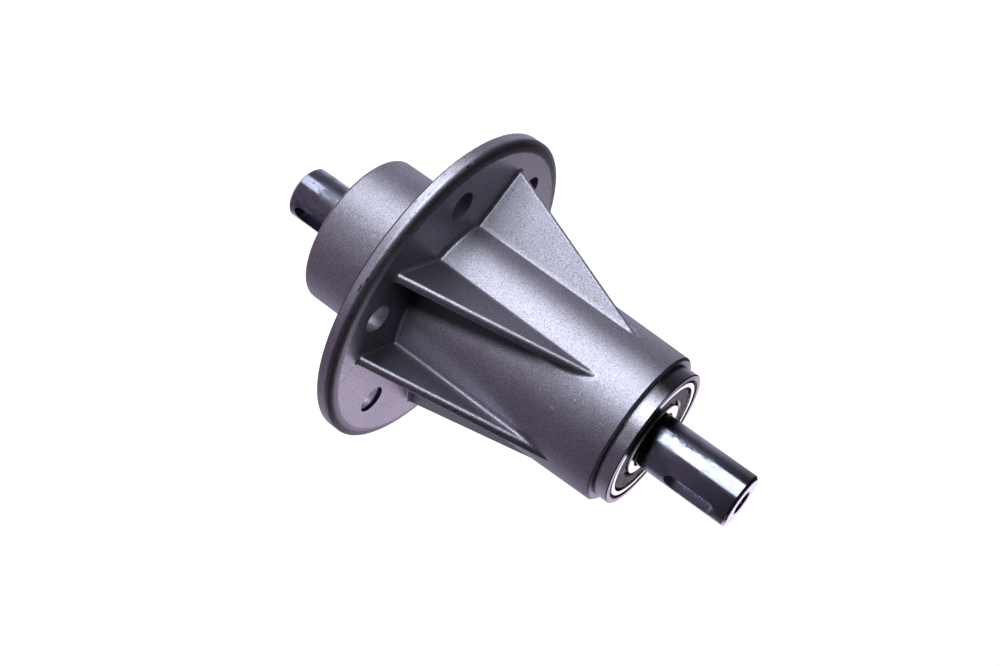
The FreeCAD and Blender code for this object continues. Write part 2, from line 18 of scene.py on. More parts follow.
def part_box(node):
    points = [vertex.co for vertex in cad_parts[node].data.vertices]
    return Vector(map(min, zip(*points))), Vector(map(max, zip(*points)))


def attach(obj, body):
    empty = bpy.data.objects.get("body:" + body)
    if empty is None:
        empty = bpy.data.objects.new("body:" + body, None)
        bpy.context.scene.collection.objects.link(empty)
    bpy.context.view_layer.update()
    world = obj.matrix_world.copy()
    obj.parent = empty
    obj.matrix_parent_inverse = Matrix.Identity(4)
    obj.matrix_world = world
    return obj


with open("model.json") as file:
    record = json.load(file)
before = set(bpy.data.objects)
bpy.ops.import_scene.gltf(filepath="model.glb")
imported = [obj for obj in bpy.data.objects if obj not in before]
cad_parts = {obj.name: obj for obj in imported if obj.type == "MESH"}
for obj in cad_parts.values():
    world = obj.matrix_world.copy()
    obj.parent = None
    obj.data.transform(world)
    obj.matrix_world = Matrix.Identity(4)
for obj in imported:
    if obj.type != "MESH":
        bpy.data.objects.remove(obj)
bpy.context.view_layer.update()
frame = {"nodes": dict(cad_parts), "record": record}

LOG = logging.getLogger("spindle")

Colour = tuple[float, float, float]
Place = tuple[float, float, float]
Step = tuple[float, float]      # where a smooth step is 0 and where it is 1
Source = bpy.types.NodeSocket | float


class Slot(Enum):
    """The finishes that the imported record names."""

    CAST = "cast_aluminium"
    SHAFT = "shaft_steel"
    SLEEVE = "sleeve_steel"
    RING = "ring_steel"
    SHIELD = "shield_steel"
    CAGE = "cage_steel"
    BALL = "ball_steel"


class Recipe:
    """One procedural material, wired node by node on Object coordinates."""

    def __init__(self, name: str) -> None:
        """Start a metal shader with the place on the part split into height, radius and turn.

        Args:
            name: Name of the material.
        """
        self.material = bpy.data.materials.new(name)
        self.material.use_nodes = True
        self.tree = self.material.node_tree
        self.shader = self.tree.nodes["Principled BSDF"]
        self.shader.inputs["Metallic"].default_value = 1.0
        self.place = self.node("ShaderNodeTexCoord").outputs["Object"]
        split = self.node("ShaderNodeSeparateXYZ")
        self.feed(split.inputs[0], self.place)
        self.x, self.y, self.height = split.outputs
        self.radius = self.length(self.x, self.y)
        self.turn = self.maths("ARCTAN2", self.y, self.x)

    def node(self, kind: str) -> bpy.types.Node:
        """Add a node of a kind to the material."""
        return self.tree.nodes.new(kind)

    def feed(self, socket: bpy.types.NodeSocket, source: Source | Sequence[float]) -> None:
        """Join a socket to another socket, or set it to a number or colour.

        Args:
            socket: The input to feed.
            source: An output socket, a number, or a colour of three numbers.
        """
        if isinstance(source, bpy.types.NodeSocket):
            self.tree.links.new(source, socket)
        elif socket.type == "RGBA":
            socket.default_value = (*source, 1.0)
        else:
            socket.default_value = source

    def maths(self, operation: str, *sources: Source) -> bpy.types.NodeSocket:
        """Work out one number from others.

        Args:
            operation: Name of the sum, as Blender's Math node has it.
            sources: One to three inputs.

        Returns:
            The result's socket.
        """
        node = self.node("ShaderNodeMath")
        node.operation = operation
        for socket, source in zip(node.inputs, sources):
            self.feed(socket, source)
        return node.outputs[0]

    def length(self, along: Source, across: Source) -> bpy.types.NodeSocket:
        """The distance from the origin of a point with two coordinates."""
        square = self.maths("MULTIPLY", along, along)
        return self.maths("SQRT", self.maths("MULTIPLY_ADD", across, across, square))

    def repeated(self, count: int, first: float) -> tuple[bpy.types.NodeSocket, bpy.types.NodeSocket]:
        """The place along and across the nearest of some equal spokes about the axis.

        Args:
            count: How many spokes there are.
            first: Turn of the first one, in radians.

        Returns:
            The sockets of the place along the spoke and across it.
        """
        half = math.pi / count
        turn = self.maths("WRAP", self.maths("SUBTRACT", self.turn, first), half, -half)
        along = self.maths("MULTIPLY", self.radius, self.maths("COSINE", turn))
        return along, self.maths("MULTIPLY", self.radius, self.maths("SINE", turn))

    def all_of(self, *shares: Source) -> bpy.types.NodeSocket:
        """1 only where every share is 1."""
        return functools.reduce(functools.partial(self.maths, "MULTIPLY"), shares)

    def any_of(self, *shares: Source) -> bpy.types.NodeSocket:
        """1 where any share is 1."""
        return functools.reduce(functools.partial(self.maths, "MAXIMUM"), shares)

    def rise(self, source: Source, low: float, high: float) -> bpy.types.NodeSocket:
        """A smooth step from 0 at low to 1 at high; low above high turns it round.

        Args:
            source: What is stepped.
            low: Where the step is 0.
            high: Where the step is 1.

        Returns:
            The step's socket.
        """
        node = self.node("ShaderNodeMapRange")
        node.interpolation_type = "SMOOTHSTEP"
        first, last, start, end = (low, high, 0.0, 1.0) if low < high else (high, low, 1.0, 0.0)
        for socket, number in zip(node.inputs[:5], (source, first, last, start, end)):
            self.feed(socket, number)
        return node.outputs[0]

    def band(self, source: Source, low: float, high: float, soft: float) -> bpy.types.NodeSocket:
        """1 between two levels and 0 outside them, with soft ends.

        Args:
            source: What is banded.
            low: Lower level.
            high: Upper level.
            soft: Width of each end.

        Returns:
            The band's socket.
        """
        start = self.rise(source, low - soft, low + soft)
        return self.maths("MULTIPLY", start, self.rise(source, high + soft, high - soft))

    def scaled(self, stretch: Sequence[float]) -> bpy.types.NodeSocket:
        """The place on the part, scaled by axis, for a pattern that is drawn out along one of them."""
        node = self.node("ShaderNodeMapping")
        self.feed(node.inputs["Vector"], self.place)
        self.feed(node.inputs["Scale"], stretch)
        return node.outputs[0]

    def around(self, round_scale: float, height_scale: float) -> bpy.types.NodeSocket:
        """A place made of radius, turn and height, for marks that run round the axis.

        Args:
            round_scale: Stretch along the turn, per radian.
            height_scale: Stretch along height and radius.

        Returns:
            The place's socket.
        """
        node = self.node("ShaderNodeCombineXYZ")
        rows = (
            self.maths("MULTIPLY", self.turn, round_scale),
            self.maths("MULTIPLY", self.radius, height_scale),
            self.maths("MULTIPLY", self.height, height_scale),
        )
        for socket, source in zip(node.inputs, rows):
            self.feed(socket, source)
        return node.outputs[0]

    def noise(
        self, scale: float, detail: float = 2.0, place: bpy.types.NodeSocket | None = None, rough: float = 0.5
    ) -> bpy.types.NodeSocket:
        """Even noise from 0 to 1.

        Args:
            scale: Features per metre, about.
            detail: Finer layers on top.
            place: Where it is read; the place on the part if none is given.
            rough: Share of the finer layers.

        Returns:
            The noise's socket.
        """
        node = self.node("ShaderNodeTexNoise")
        self.feed(node.inputs["Vector"], place or self.place)
        self.feed(node.inputs["Scale"], scale)
        self.feed(node.inputs["Detail"], detail)
        self.feed(node.inputs["Roughness"], rough)
        return node.outputs[0]

    def tint(
        self, share: Source, under: Source | Colour, over: Source | Colour, way: str = "MIX"
    ) -> bpy.types.NodeSocket:
        """Lay one colour over another.

        Args:
            share: How much of the upper colour shows.
            under: The lower colour.
            over: The upper colour.
            way: How they are laid over, as Blender's Mix node has it.

        Returns:
            The colour's socket.
        """
        node = self.node("ShaderNodeMix")
        node.data_type = "RGBA"
        node.blend_type = way
        self.feed(node.inputs[0], share)
        self.feed(node.inputs[6], under)
        self.feed(node.inputs[7], over)
        return node.outputs[2]

    def between(self, share: Source, low: Source, high: Source) -> bpy.types.NodeSocket:
        """A number that goes from low to high as the share goes from 0 to 1."""
        node = self.node("ShaderNodeMix")
        for number, source in ((0, share), (2, low), (3, high)):
            self.feed(node.inputs[number], source)
        return node.outputs[0]

    def shade(self, share: Source, colour: Source, by: float) -> bpy.types.NodeSocket:
        """A colour made darker or lighter by a factor where the share is 1."""
        return self.tint(share, colour, self.tint(1.0, colour, (by, by, by), "MULTIPLY"))

    def spot(self, centre: Sequence[float], reach: float, ragged: Source) -> bpy.types.NodeSocket:
        """A small ragged mark around a point of the part.

        Args:
            centre: The mark's middle.
            reach: How far it spreads.
            ragged: Noise that eats into its edge.

        Returns:
            The mark's socket, 1 in the middle.
        """
        node = self.node("ShaderNodeVectorMath")
        node.operation = "DISTANCE"
        self.feed(node.inputs[0], self.place)
        self.feed(node.inputs[1], centre)
        ragged_far = self.maths("MULTIPLY_ADD", ragged, reach, node.outputs["Value"])
        return self.rise(ragged_far, reach * 1.5, reach)

    def bump(self, height: Source, depth: float, strength: float) -> None:
        """Raise the surface by a height from 0 to 1, on top of the bumps that are there.

        Args:
            height: The height's socket.
            depth: How deep the relief is, in metres.
            strength: How much of it shows.
        """
        node = self.node("ShaderNodeBump")
        self.feed(node.inputs["Strength"], strength)
        self.feed(node.inputs["Distance"], depth)
        self.feed(node.inputs["Height"], height)
        normal = self.shader.inputs["Normal"]
        if normal.is_linked:
            self.feed(node.inputs["Normal"], normal.links[0].from_socket)
        self.feed(normal, node.outputs[0])

    def turning(self, pitch: float) -> bpy.types.NodeSocket:
        """Fine lathe lines: a wave of height plus radius, so rings on faces and hoops on sides.

        Args:
            pitch: Distance between two lines.

        Returns:
            The wave's socket, from -1 to 1.
        """
        along = self.maths("ADD", self.radius, self.height)
        return self.maths("SINE", self.maths("MULTIPLY", along, 2 * math.pi / pitch))

    def paint(self, colour: Source, roughness: Source) -> bpy.types.Material:
        """Finish the material with its colour and roughness.

        Args:
            colour: Colour's socket.
            roughness: Roughness's socket.

        Returns:
            The material.
        """
        self.feed(self.shader.inputs["Base Color"], colour)
        self.feed(self.shader.inputs["Roughness"], roughness)
        return self.material


@dataclass(frozen=True)
class Nick:
    """One mark of handling: where it is, how far it spreads and its tone."""

    centre: Place
    reach: float
    tone: Colour


@dataclass(frozen=True)
class Scratch:
    """One short scratch round the flange's edge: turn and half its length in degrees, height and tone."""

    turn: float
    height: float
    half: float
    tone: Colour


BRIGHT: Colour = (0.86, 0.85, 0.90)
# Near-black, for grime, for dark joints and for painted shade.
GRIME_AND_SHADE: Colour = (0.03, 0.026, 0.034)


@dataclass(frozen=True)
class CastAluminium:
    """Blasted casting with turned rim, collar, seats and deck face, handled and a little chipped."""

    # Tones of the skin and of what the lathe left, and how much of the latter shows
    dark: Colour = (0.31, 0.31, 0.34)
    light: Colour = (0.58, 0.58, 0.635)
    turned: Colour = (0.64, 0.64, 0.68)
    edge_tint: Colour = (0.62, 0.60, 0.64)
    blotch_tint: Colour = (0.90, 0.87, 0.88)
    streak_tint: Colour = (0.8, 0.8, 0.8)
    lathe_share: float = 0.75
    rim_share: float = 0.35
    # Factors on the tone, several of them painted highlight, painted shade or painted light, and the
    # roughness of each kind of face
    ridge_wear_and_highlight: float = 1.25
    rib_face_painted_shade: float = 0.80
    bevel_shade: float = 0.75
    chip_shade: float = 0.35
    collar_shade_factor: float = 0.2
    dim_hole_painted_shade: float = 0.4
    pale_hole_painted_light: float = 1.9
    skin_rough: tuple[float, float] = (0.40, 0.46)
    rim_rough: float = 0.36
    lathe_rough: float = 0.20
    dim_hole_rough: float = 0.9
    # The casting's own radii and heights
    rim_radius: float = 0.0612
    rim_edge: float = 0.0048
    bevel_radius: float = 0.0575
    deck_face: float = 0.0003
    boss_radius: float = 0.0292
    boss_end: float = -0.0357
    collar_foot: float = 0.0900
    collar_end: float = 0.0951
    collar_radius: float = 0.0257
    seat_radius: float = 0.0241
    bolt_circle: float = 0.0460
    bolt_hole: float = 0.00535
    rib_side: float = 0.0165
    rib_foot_reach: float = 0.0481
    rib_foot: float = 0.0048
    rib_top: float = 0.0765
    rib_slope: float = 0.3605
    barrel_taper: float = 0.0207
    # Where the rounding of the worn front edge starts, and how fast it falls
    soft_side: tuple[float, float] = (0.0020, 200.0)
    soft_face: tuple[float, float] = (0.0023, 118.0)
    # Marks: painted shade and painted light on hole walls, painted shade on the collar and along a rib, a
    # thin dark line on the face, nicks
    dim_side: Step = (-0.005, -0.012)
    pale_x: Step = (0.020, 0.030)
    pale_y: Step = (-0.020, -0.010)
    crescent_heights: Step = (0.0044, 0.0052)
    collar_shade_turns: tuple[Step, Step] = ((-1.64, -2.13), (-3.10, -2.60))
    foot_shade_taper: float = 0.2
    foot_shade_across: Step = (0.0022, -0.0022)
    foot_shade_heights: tuple[Step, Step] = ((0.0062, 0.0068), (0.0720, 0.0500))
    foot_shade_turns: tuple[float, float, float] = (-1.85, -1.00, 0.05)
    foot_shade_share: float = 0.95
    face_line: tuple[float, float, float] = (0.0402, 0.0472, -0.0312)
    line_share: float = 0.8
    nicks: tuple[Nick, ...] = (
        Nick((0.01254, -0.02636, 0.06779), 0.0009, (0.66, 0.66, 0.72)),
        Nick((0.00624, -0.02840, 0.07287), 0.0004, BRIGHT),
        Nick((0.00966, -0.02769, 0.06097), 0.0003, BRIGHT),
        Nick((0.03183, -0.02214, 0.04090), 0.0005, (0.12, 0.11, 0.13)),
        Nick((-0.03515, -0.05046, 0.00450), 0.0007, BRIGHT),
    )
    scratch_half_width: float = 0.00035
    scratch_zone: Step = (0.058, 0.059)
    scratches: tuple[Scratch, ...] = (
        Scratch(-75.4, 0.0037, 1.0, (0.08, 0.08, 0.10)),
        Scratch(-72.0, 0.0031, 1.5, (0.05, 0.05, 0.07)),
        Scratch(-63.0, 0.0050, 1.6, (0.26, 0.21, 0.27)),
        Scratch(-122.5, 0.0046, 0.7, (0.08, 0.08, 0.10)),
    )

    def rim(self, cast: Recipe) -> bpy.types.NodeSocket:
        """Where the flange's turned side is."""
        return cast.all_of(
            cast.rise(cast.radius, self.rim_radius - 0.0002, self.rim_radius),
            cast.rise(cast.height, self.rim_edge + 0.0001, self.rim_edge - 0.0001),
        )

    def collar(self, cast: Recipe) -> bpy.types.NodeSocket:
        """Where the collar is."""
        return cast.rise(cast.height, self.collar_foot - 0.0001, self.collar_foot + 0.0001)

    def turned_faces(self, cast: Recipe) -> bpy.types.NodeSocket:
        """Where the lathe went: deck face, bearing seats, collar and the boss's end."""
        deck = cast.all_of(
            cast.band(cast.height, -self.deck_face, self.deck_face, 0.00005),
            cast.rise(cast.radius, self.boss_radius + 0.0003, self.boss_radius + 0.0005),
        )
        inside = cast.rise(cast.radius, self.seat_radius, self.seat_radius - 0.0001)
        end = cast.rise(cast.height, self.boss_end, self.boss_end - 0.0001)
        return cast.any_of(deck, inside, self.collar(cast), end)

    def bolt_walls(self, cast: Recipe) -> bpy.types.NodeSocket:
        """Where the walls of the flange's bolt holes are."""
        along, across = cast.repeated(6, 0.0)
        far = cast.length(cast.maths("SUBTRACT", along, self.bolt_circle), across)
        return cast.rise(far, self.bolt_hole, self.bolt_hole - 0.00006)

    def ridges(self, cast: Recipe) -> bpy.types.NodeSocket:
        """Where the ribs' outer ridges are: within a millimetre or so of their sloping outer edges."""
        along, across = cast.repeated(3, math.pi / 3)
        above = cast.maths("SUBTRACT", cast.height, self.rib_foot)
        slope = cast.maths("MULTIPLY", above, self.rib_slope)
        proud = cast.maths("ADD", cast.maths("SUBTRACT", along, self.rib_foot_reach), slope)
        side = cast.maths("SUBTRACT", cast.maths("ABSOLUTE", across), self.rib_side)
        return cast.all_of(
            cast.band(proud, -0.0009, 0.0012, 0.0003),
            cast.rise(cast.maths("ABSOLUTE", side), 0.0021, 0.0018),
            cast.band(cast.height, self.rib_foot + 0.0022, self.rib_top - 0.002, 0.001),
        )

    def rib_faces(self, cast: Recipe) -> bpy.types.NodeSocket:
        """Where the ribs stand proud of the tapered barrel; their faces get painted shade."""
        proud = cast.maths("MULTIPLY_ADD", cast.height, self.barrel_taper, cast.radius)
        return cast.all_of(cast.rise(proud, 0.0311, 0.0322), cast.rise(cast.height, 0.0064, 0.0080))

    def bevel(self, cast: Recipe) -> bpy.types.NodeSocket:
        """Where the bevel round the flange's front is."""
        return cast.all_of(
            cast.rise(cast.radius, self.bevel_radius - 0.0008, self.bevel_radius + 0.0004),
            cast.rise(cast.height, self.rim_edge, self.rim_edge + 0.0002),
        )

    def darker_patch(self, cast: Recipe) -> bpy.types.NodeSocket:
        """Where one side of the collar is painted darker, as painted shade."""
        start, end = self.collar_shade_turns
        return cast.all_of(self.collar(cast), cast.rise(cast.turn, *start), cast.rise(cast.turn, *end))

    def soft_edge(self, cast: Recipe) -> bpy.types.NodeSocket:
        """How far the flange's worn front edge falls away, in metres.

        It falls with the square of the distance past the start of the rounding, on the rim's side and on
        the bevel, and by as much on both where they meet.
        """

        def fall(along: Source, start: float, speed: float) -> bpy.types.NodeSocket:
            """How far a face has fallen past a start."""
            past = cast.maths("MAXIMUM", cast.maths("SUBTRACT", along, start), 0.0)
            return cast.maths("MULTIPLY", cast.maths("MULTIPLY", past, past), -speed)

        front = cast.maths("GREATER_THAN", cast.height, self.rim_edge + 0.00001)
        side = fall(cast.height, self.rim_edge - self.soft_side[0], self.soft_side[1])
        face = fall(cast.radius, self.rim_radius - self.soft_face[0], self.soft_face[1])
        outside = cast.rise(cast.radius, self.bevel_radius - 0.001, self.bevel_radius)
        return cast.maths("MULTIPLY", cast.between(front, side, face), outside)

    def scratch(self, cast: Recipe, mark: Scratch, ragged: bpy.types.NodeSocket) -> bpy.types.NodeSocket:
        """Where one scratch of the flange's edge is.

        Args:
            cast: The casting's recipe.
            mark: The scratch.
            ragged: Noise that eats into its edge.

        Returns:
            The scratch's socket, 1 along its middle.
        """
        along = cast.maths("SUBTRACT", cast.turn, math.radians(mark.turn))
        along = cast.maths("DIVIDE", along, math.radians(mark.half))
        across = cast.maths("SUBTRACT", cast.height, mark.height)
        across = cast.maths("DIVIDE", across, self.scratch_half_width)
        far = cast.maths("ADD", cast.length(along, across), ragged)
        return cast.all_of(cast.rise(far, 1.6, 1.1), cast.rise(cast.radius, *self.scratch_zone))

    def rib_foot_painted_shade(self, cast: Recipe) -> bpy.types.NodeSocket:
        """Where painted shade lies on the barrel along the foot of one rib, on the side towards the rib's
        partner.
        """
        _, across = cast.repeated(3, math.pi / 3)
        tapered = cast.maths("MULTIPLY_ADD", cast.height, self.foot_shade_taper, across)
        foot, end = self.foot_shade_heights
        return cast.all_of(
            cast.rise(tapered, *self.foot_shade_across),
            cast.rise(across, -self.rib_side - 0.0010, -self.rib_side),
            cast.rise(cast.radius, 0.0318, 0.0308),
            cast.rise(cast.height, *foot),
            cast.rise(cast.height, *end),
            cast.band(cast.turn, *self.foot_shade_turns),
            self.foot_shade_share,
        )

    def grime_and_shade(self, cast: Recipe) -> bpy.types.NodeSocket:
        """Where the tone goes near-black: dirt on the rim's front edge, painted shade on its back edge and by
        one rib, a thin dark line on the face, grime at the seats' mouths and a dark line round the collar's
        end.
        """
        outside = cast.rise(cast.radius, self.rim_radius - 0.0030, self.rim_radius - 0.0020)
        worn = cast.between(cast.noise(1.0, 4.0, cast.around(16.0, 700.0)), 0.15, 0.75)
        edge = cast.band(cast.height, self.rim_edge + 0.0004, self.rim_edge + 0.0009, 0.0004)
        front = cast.all_of(edge, outside, worn)
        # The rim's back edge is painted dark, as painted shade.
        back = cast.all_of(
            cast.rise(cast.height, 0.0006, 0.0003), outside, cast.rise(cast.height, 0.0, 0.0001)
        )
        # A thin dark line on the flange's face, from a rib's foot to the rim.
        start, end, across = self.face_line
        line = cast.all_of(
            cast.band(cast.x, start, end, 0.0004),
            cast.band(cast.y, across - 0.0001, across + 0.0001, 0.00012),
            cast.band(cast.height, 0.0056, 0.0070, 0.0002),
            self.line_share,
        )
        mouth = cast.all_of(
            cast.rise(cast.radius, self.seat_radius, self.seat_radius - 0.0001),
            cast.any_of(cast.rise(cast.height, 0.0940, 0.0944), cast.rise(cast.height, -0.0346, -0.0350)),
        )
        corner = cast.all_of(
            cast.rise(cast.radius, self.collar_radius, self.collar_radius + 0.0001),
            cast.rise(cast.height, self.collar_end - 0.0002, self.collar_end),
        )
        return cast.any_of(front, back, line, mouth, corner, self.rib_foot_painted_shade(cast))

    def material(self) -> bpy.types.Material:
        """Wire the casting: fine grain, blotches, lathe lines, ridges lighter with wear and painted
        highlight, painted shade and painted light in places, grime and single marks.
        """
        cast = Recipe(Slot.CAST.value)
        cast.feed(cast.shader.inputs["Specular Tint"], self.edge_tint)
        grain = cast.noise(2400, 2.0, rough=0.6)
        speck = cast.noise(3000, 1.0)
        blotch = cast.noise(45, 4.0)
        ragged = cast.noise(900, 3.0)
        streak = cast.noise(1.0, 3.0, cast.around(60.0, 9000.0))
        rim = self.rim(cast)
        lathe = self.turned_faces(cast)
        chips = cast.all_of(rim, cast.rise(cast.noise(1.0, 4.0, cast.around(26.0, 1700.0)), 0.66, 0.74))
        walls = self.bolt_walls(cast)
        # Hole walls toned one by one: painted shade on the dim holes, painted light on the pale one.
        painted_dim_holes = cast.all_of(walls, cast.rise(cast.x, *self.dim_side))
        painted_pale_hole = cast.all_of(walls, cast.rise(cast.x, *self.pale_x), cast.rise(cast.y, *self.pale_y))

        colour = cast.tint(cast.rise(speck, 0.33, 0.67), self.dark, self.light)
        blotched = cast.tint(1.0, colour, self.blotch_tint, "MULTIPLY")
        colour = cast.tint(cast.rise(blotch, 0.25, 0.75), blotched, colour)
        streaked = cast.tint(1.0, colour, self.streak_tint, "MULTIPLY")
        worked = cast.any_of(
            cast.maths("MULTIPLY", lathe, self.lathe_share), cast.maths("MULTIPLY", rim, self.rim_share)
        )
        colour = cast.tint(worked, colour, cast.tint(streak, streaked, self.turned))
        # Ridges lighter for wear and painted highlight; painted shade on the dim hole walls, the rib faces
        # and one side of the collar; painted light on the pale hole wall; the bevel darker; chips.
        for share, by in (
            (self.ridges(cast), self.ridge_wear_and_highlight),
            (painted_dim_holes, self.dim_hole_painted_shade),
            (painted_pale_hole, self.pale_hole_painted_light),
            (self.rib_faces(cast), self.rib_face_painted_shade),
            (self.darker_patch(cast), self.collar_shade_factor),
            (self.bevel(cast), self.bevel_shade),
            (chips, self.chip_shade),
        ):
            colour = cast.shade(share, colour, by)
        # A dark crescent at the top of the pale hole's wall: painted shade.
        lip = cast.all_of(painted_pale_hole, cast.rise(cast.height, *self.crescent_heights))
        colour = cast.tint(cast.any_of(lip, self.grime_and_shade(cast)), colour, GRIME_AND_SHADE)
        for mark in self.scratches:
            colour = cast.tint(self.scratch(cast, mark, ragged), colour, mark.tone)
        for nick in self.nicks:
            colour = cast.tint(cast.spot(nick.centre, nick.reach, ragged), colour, nick.tone)

        cast.bump(self.soft_edge(cast), 1.0, 1.0)
        cast.bump(grain, 0.00012, 0.5)
        cast.bump(cast.maths("MULTIPLY", cast.turning(0.00028), lathe), 0.00001, 0.5)
        cast.bump(cast.maths("MULTIPLY", streak, rim), 0.00006, 0.5)
        cast.bump(cast.maths("MULTIPLY", chips, -1.0), 0.0002, 0.6)
        rough = cast.between(blotch, *self.skin_rough)
        for share, level in ((rim, self.rim_rough), (painted_dim_holes, self.dim_hole_rough), (lathe, self.lathe_rough)):
            rough = cast.between(share, rough, level)
        return cast.paint(colour, rough)


@dataclass(frozen=True)
class GroundShaft:
    """Dark ground and oiled shaft steel with smudges; the end faces are bright and turned."""

    dark: Colour = (0.24, 0.255, 0.31)
    light: Colour = (0.36, 0.375, 0.43)
    milled: Colour = (0.60, 0.62, 0.68)
    end: Colour = (0.78, 0.78, 0.80)
    edge_tint: Colour = (0.90, 0.90, 0.94)
    smear_shade: float = 0.35
    grease_and_shade_factor: float = 0.12
    oiled_rough: tuple[float, float] = (0.13, 0.42)
    cut_rough: float = 0.30
    upper_end: float = 0.1300
    lower_end: float = -0.0615
    slot_turn: float = -math.pi / 6
    slot_floor: float = 0.0065
    slot_half: float = 0.0031
    slot_lip: Step = (0.00992, 0.00985)
    hole_mouth: Step = (0.0044, 0.0046)
    # Smudges: bands of height or turn, each with its soft end, and how much of them shows elsewhere
    handled_heights: tuple[float, float, float] = (0.097, 0.119, 0.005)
    handled_turns: tuple[float, float, float] = (-2.36, -1.92, 0.10)
    handled_round: float = 0.35
    handled_foot: Step = (-0.036, -0.040)
    foot_share: float = 0.7
    least_share: float = 0.15
    # Grease and painted shade at the bearings: how far they reach along the shaft, each with its soft end
    ragged_reach: float = 0.006
    upper_grease_and_shade: tuple[float, float] = (0.0981, 0.0013)
    left_grease_and_shade: tuple[float, float] = (0.1018, 0.0027)
    left_turns: tuple[Step, Step] = ((-1.92, -2.2), (-3.10, -2.80))
    lower_grease_and_shade: tuple[float, float] = (-0.0385, 0.0010)

    def slots(self, steel: Recipe) -> bpy.types.NodeSocket:
        """Where the milled key slots are: under the round surface, near the slots' own spoke."""
        along, across = steel.repeated(1, self.slot_turn)
        return steel.all_of(
            steel.rise(along, self.slot_floor - 0.0003, self.slot_floor - 0.0001),
            steel.rise(steel.maths("ABSOLUTE", across), self.slot_half, self.slot_half - 0.00005),
            steel.rise(steel.radius, *self.slot_lip),
        )

    def end_faces(self, steel: Recipe) -> bpy.types.NodeSocket:
        """Where the two end faces are, round their holes."""
        either = steel.any_of(
            steel.rise(steel.height, self.upper_end + 0.0006, self.upper_end + 0.0008),
            steel.rise(steel.height, self.lower_end - 0.0006, self.lower_end - 0.0008),
        )
        return steel.maths("MULTIPLY", either, steel.rise(steel.radius, *self.hole_mouth))

    def smear(self, steel: Recipe, smudge: bpy.types.NodeSocket) -> bpy.types.NodeSocket:
        """Where hands left smudges: most near the upper bearing, on one side, and on the lower end."""
        side = steel.any_of(steel.band(steel.turn, *self.handled_turns), self.handled_round)
        handled = steel.any_of(
            steel.all_of(steel.band(steel.height, *self.handled_heights), side),
            steel.maths("MULTIPLY", steel.rise(steel.height, *self.handled_foot), self.foot_share),
            self.least_share,
        )
        return steel.maths("MULTIPLY", steel.rise(smudge, 0.45, 0.56), handled)

    def grease_and_shade(self, steel: Recipe, smudge: bpy.types.NodeSocket) -> bpy.types.NodeSocket:
        """Where the shaft next to the bearings is darkened, grease and painted shade together, with a ragged
        edge and further on one side.
        """
        ragged = steel.maths("MULTIPLY_ADD", smudge, self.ragged_reach, -self.ragged_reach / 2)
        root = steel.maths("ADD", steel.height, ragged)
        start, end = self.left_turns
        left = steel.all_of(steel.rise(steel.turn, *start), steel.rise(steel.turn, *end))
        lower, soft = self.lower_grease_and_shade
        return steel.any_of(
            steel.band(root, 0.0, *self.upper_grease_and_shade),
            steel.all_of(steel.band(root, 0.0, *self.left_grease_and_shade), left),
            steel.band(root, lower, 0.0, soft),
        )

    def material(self) -> bpy.types.Material:
        """Wire the shaft: ragged smudges, grease with painted shade by the bearings, fine hoops, milled slots
        with painted shade in the lower one, and bright end faces.
        """
        steel = Recipe(Slot.SHAFT.value)
        steel.feed(steel.shader.inputs["Specular Tint"], self.edge_tint)
        smudge = steel.noise(1.0, 6.0, steel.scaled((210.0, 210.0, 95.0)), 0.66)
        fine = steel.noise(1.0, 2.0, steel.scaled((1600.0, 1600.0, 260.0)))
        smear = self.smear(steel, smudge)
        ends = self.end_faces(steel)
        slots = self.slots(steel)
        colour = steel.tint(fine, self.dark, self.light)
        colour = steel.shade(smear, colour, self.smear_shade)
        colour = steel.shade(self.grease_and_shade(steel, smudge), colour, self.grease_and_shade_factor)
        # The lower slot's floor is painted darker than the upper one's, as painted shade.
        floor = steel.tint(steel.rise(steel.height, 0.0, 0.02), self.dark, self.milled)
        colour = steel.tint(slots, colour, floor)
        colour = steel.tint(ends, colour, self.end)
        steel.bump(steel.maths("MULTIPLY", steel.turning(0.0002), ends), 0.00001, 0.4)
        steel.bump(fine, 0.000012, 0.25)
        oiled = steel.between(smear, *self.oiled_rough)
        return steel.paint(colour, steel.between(steel.any_of(ends, slots), oiled, self.cut_rough))


@dataclass(frozen=True)
class RingSteel:
    """Bright ground bearing rings, with grease at the shaft and painted shade in the outer corner and on the
    step.
    """

    dark: Colour = (0.66, 0.73, 0.64)
    light: Colour = (0.80, 0.88, 0.77)
    outer_corner: float = 0.02270
    step: float = 0.01362
    shoulder: float = 0.0170
    shaft_corner: float = 0.01075
    clean_rough: tuple[float, float] = (0.07, 0.14)
    grease_and_shade_rough: float = 0.45
    pitch: float = 0.0002

    def material(self) -> bpy.types.Material:
        """Wire the rings: faint hoops, painted shade in the outer corner and on the step, and grease at the
        shaft.
        """
        steel = Recipe(Slot.RING.value)
        cloud = steel.noise(260, 3.0)
        ragged = steel.maths("MULTIPLY_ADD", steel.noise(900, 2.0), 0.0004, -0.0002)
        radius = steel.maths("ADD", steel.radius, ragged)
        grease_and_shade = steel.any_of(
            steel.rise(steel.radius, self.outer_corner, self.outer_corner + 0.0002),
            steel.band(steel.radius, self.step, self.shoulder, 0.00006),
            steel.rise(radius, self.shaft_corner, self.shaft_corner - 0.0002),
        )
        streak = steel.noise(1.0, 2.0, steel.around(6.0, 6000.0))
        colour = steel.tint(grease_and_shade, steel.tint(streak, self.dark, self.light), GRIME_AND_SHADE)
        steel.bump(steel.turning(self.pitch), 0.000006, 0.3)
        clean = steel.between(cloud, *self.clean_rough)
        return steel.paint(colour, steel.between(grease_and_shade, clean, self.grease_and_shade_rough))


